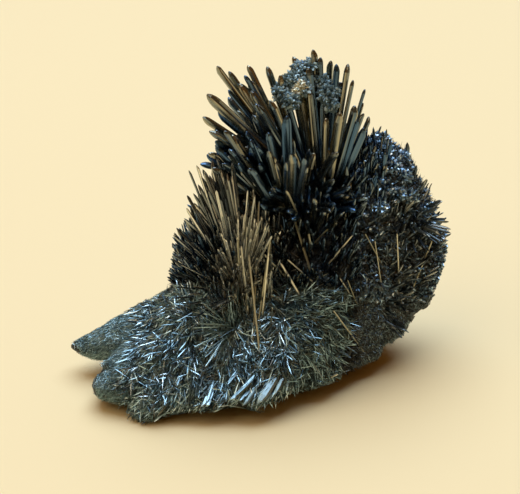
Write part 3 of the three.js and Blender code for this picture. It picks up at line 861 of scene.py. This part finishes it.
fan_fill = spray_fill(LEFT_FAN[0], [-0.5, -0.6, 1], 130, widths=(0.3, 0.7), lean=50, upright=23, leaning=15)
fan_base, fan_tip, fan_width = bundle(*LEFT_FAN)
fan = stacked(
    with_companions(fan_base, fan_tip, FAN_THINNING * fan_width, 3),
    with_companions(*stacked(bundle(*UPPER_LEFT_EDGE), bundle(*LEFT_EDGE_FILL)), 2), fan_fill)
add_crystals("left_fan_needles", fan, golden(fan), NEEDLE_SIDES, SPLINTER_STATIONS,
             fan_material, "tarnished_needles", "left_needle_fan", groove=0.16, streak=0.3)
undergrowth = stacked(
    thicket(fan_region, 520, centre=[1, 18, 22], lengths=(2, 7), widths=(0.25, 0.65), scatter_share=0.12),
    thicket(fan_foot_region, 130, centre=[0, 2, 26], lengths=(2.5, 6.5), widths=(0.2, 0.42),
            scatter_share=0.14),
    thicket(gold_region, 170, centre=[-1, 0, 24], lengths=(3, 8), widths=(0.3, 0.6), scatter_share=0.08))
add_crystals("left_fan_thicket", undergrowth, golden(undergrowth), THIN_SIDES, SPLINTER_STATIONS,
             fan_material, "tarnished_needles", groove=0.12, streak=0.3)

# The right bank: short prisms, and grains of druse on its crest.
MORE_DARK_GRAINS = 1.5
bank_fill = spray_fill(
    RIGHT_BANK[0], [0.8, -0.3, 0.7], 90, widths=(0.4, 0.9), lean=95, upright=12, leaning=10)
flank_blades = thicket(
    flank_region, 360, centre=[20, 25, 29], lengths=(1.2, 4), widths=(0.3, 0.7), scatter_share=0.25)
bank = stacked(with_companions(*bundle(*RIGHT_BANK), 1), bank_fill, flank_blades)
add_crystals("right_bank_crystals", bank, even(bank, 0, 0.9), SPLINTER_SIDES, SPLINTER_STATIONS,
             bristle_material, "blue_grey_druse", "right_druse_bank", groove=0.1)
crest = thicket(
    crest_region, 2600, centre=[24, 36, 28], lengths=(0.3, 1.5), widths=(0.35, 0.9), scatter_share=0.7)
crest_tone = even(crest, 0, 1) ** MORE_DARK_GRAINS
add_crystals("right_crest_grains", crest, crest_tone, GRAIN_SIDES, GRAIN_STATIONS,
             druse_material, "blue_grey_druse", point=0.8)

# Single needles, the flat blades at the foot, and a rosette of long needles on the front.
gold = stacked(laid(GOLDEN_NEEDLES, lift=4.2), laid(FAN_NEEDLES, lift=7.0))
add_crystals("golden_single_needles", gold, even(gold, 0, 0.8), NEEDLE_SIDES, SPLINTER_STATIONS,
             straw_material, "tarnished_needles", groove=0.12, streak=0.35)
blades = with_companions(*laid(BRIGHT_BLADES, lift=3.0), 2)
add_crystals("bright_foot_blades", blades, even(blades, 0, 1), THIN_SIDES, SPLINTER_STATIONS,
             blade_material, "felted_matrix", flat=0.3, face=HIGHLIGHT)
rays = burst((232, 327), 70, angles=(95, 265), lengths=(3, 11), widths=(0.12, 0.22), lifts=(0.15, 0.5))
add_crystals("front_rosette", rays, even(rays, 0.3, 0.9), RAY_SIDES, SPLINTER_STATIONS,
             felt_material, "felted_matrix")

# Druse in lumps: column, row and radius, and how far back those lie that stand between prisms.
SUMMIT_LUMPS = [
    (282, 92, 1.9, 28), (292, 80, 1.6, 29), (300, 70, 1.8, 31), (311, 66, 1.5, 32), (292, 101, 1.7, 26),
    (302, 88, 1.8, 28), (322, 82, 1.6, 31), (326, 94, 1.8, 29), (336, 92, 1.3, 30), (331, 105, 1.3, 28),
]
CREST_LUMPS = [
    (376, 138, 1.9), (386, 150, 1.8), (372, 160, 1.6), (392, 168, 2.0), (404, 176, 1.6),
    (384, 186, 1.8), (398, 194, 1.7), (412, 196, 1.5), (380, 206, 1.4), (424, 212, 1.7),
    (432, 226, 1.6), (404, 158, 1.4), (441, 236, 2.2), (443, 248, 2.2), (439, 262, 2.0),
    (435, 276, 1.8), (430, 290, 1.5), (380, 132, 2.0),
]
OCHRE_LUMPS = [(301, 86, 0.8, 27.2), (297, 90, 0.7, 27)]
GRAINS_PER_LUMP = 170
GRAIN_DEPTHS = (0.7, 1.0)  # shares of a lump's radius
GRAIN_LENGTHS = (0.4, 1.0)
GRAIN_WIDTHS = (0.5, 1.1)
GRAIN_BURIED = 0.4
GRAIN_SCATTER = 0.6
CREST_SINK = 0.2  # lumps of the crest lie below the surface by this share of their radius


def druse(name, centres, radii, material, slot):
    """Grains by chance over balls, leaning away from their middles."""
    centre = np.repeat(centres, GRAINS_PER_LUMP, axis=0)
    radius = np.repeat(radii, GRAINS_PER_LUMP)[:, None]
    away = unit(random.normal(size=centre.shape))
    grain_feet = centre + away * radius * random.uniform(*GRAIN_DEPTHS, (len(centre), 1))
    leaning = unit(away + GRAIN_SCATTER * random.normal(size=away.shape))
    tips = grain_feet + leaning * random.uniform(*GRAIN_LENGTHS, (len(centre), 1))
    grains = trimmed((grain_feet - GRAIN_BURIED * away, tips, random.uniform(*GRAIN_WIDTHS, len(centre))))
    add_crystals(name, grains, even(grains, 0, 1), GRAIN_SIDES, GRAIN_STATIONS, material, slot, point=0.8)


for name, lumps, material in [
    ("summit_druse", SUMMIT_LUMPS, crust_material),
    ("ochre_grains", OCHRE_LUMPS, straw_material),
]:
    lump_column, lump_row, lump_radius, lump_back = np.array(lumps, float).T
    druse(name, at_pixel(lump_column, lump_row, lump_back), lump_radius, material, "stibnite_prisms")
crest_feet = np.array([foot_at(*lump[:2]) for lump in CREST_LUMPS])
crest_radii = np.array([lump[2] for lump in CREST_LUMPS])
crest_centres = feet[crest_feet] - CREST_SINK * crest_radii[:, None] * out[crest_feet]
druse("crest_druse", crest_centres, crest_radii, druse_material, "blue_grey_druse")

# Dark prisms that close the spaces of the left wing.
wing_fill = spray_fill([6, 45, 27], [-0.75, -0.1, 1], 60, widths=(1.0, 1.9), lean=38, upright=25, leaning=17)
add_crystals("left_wing_prisms", wing_fill, even(wing_fill, 0, 0.7), PRISM_SIDES, PRISM_STATIONS,
             prism_material, "stibnite_prisms", groove=0.12, flat=0.78, point=1.0, streak=0.2)

# Floor, light and camera, in metres.
FLOOR_HALF = 4
FLOOR_CORNERS = [(-1, -1), (1, -1), (1, 1), (-1, 1)]
floor_mesh = bpy.data.meshes.new("paper")
floor_mesh.from_pydata([(x * FLOOR_HALF, y * FLOOR_HALF, 0) for x, y in FLOOR_CORNERS], [], [(0, 1, 2, 3)])
floor = bpy.data.objects.new("paper", floor_mesh)
bpy.context.scene.collection.objects.link(floor)
# Matt cream paper, with hardly any gloss.
paper, paper_shader = new_material("cream paper")
paper_shader.inputs["Base Color"].default_value = colour("#f4dba9")
paper_shader.inputs["Roughness"].default_value = 0.9
paper_shader.inputs["Specular IOR Level"].default_value = 0.1
floor_mesh.materials.append(paper)

world = bpy.data.worlds.new("room")
world.use_nodes = True
background = world.node_tree.nodes["Background"]
background.inputs["Color"].default_value = colour("#ffb862")
background.inputs["Strength"].default_value = 0.16
bpy.context.scene.world = world


def add_light(name, place, size, power, tint):
    """A round lamp at a place, turned to the specimen: its size in metres, power in watts and tint."""
    light = bpy.data.lights.new(name, "AREA")
    light.shape = "DISK"
    light.size = size
    light.energy = power
    light.color = colour(tint)[:3]
    lamp = bpy.data.objects.new(name, light)
    lamp.location = place
    lamp.rotation_euler = (Vector(LIGHT_AIM) - Vector(place)).to_track_quat("-Z", "Y").to_euler()
    bpy.context.scene.collection.objects.link(lamp)


add_light("window", WINDOW_PLACE, size=1.5, power=25.2, tint="#cce4ff")
add_light("sky", SKY_PLACE, size=1.2, power=5.0, tint="#fff0d4")

camera = bpy.data.objects.new("camera", bpy.data.cameras.new("camera"))
camera.data.sensor_width = SENSOR_WIDTH
camera.data.lens = SENSOR_WIDTH * EYE_DISTANCE / (PHOTO_SIZE[0] * PIXEL)
camera.data.clip_start = NEAREST_SEEN
camera.location = Vector((EYE - ROW_ORIGIN) * MM)
camera.rotation_euler = Vector(-TO_VIEWER).to_track_quat("-Z", "Y").to_euler()
bpy.context.scene.collection.objects.link(camera)
bpy.context.scene.camera = camera
bpy.context.scene.view_settings.view_transform = "Standard"
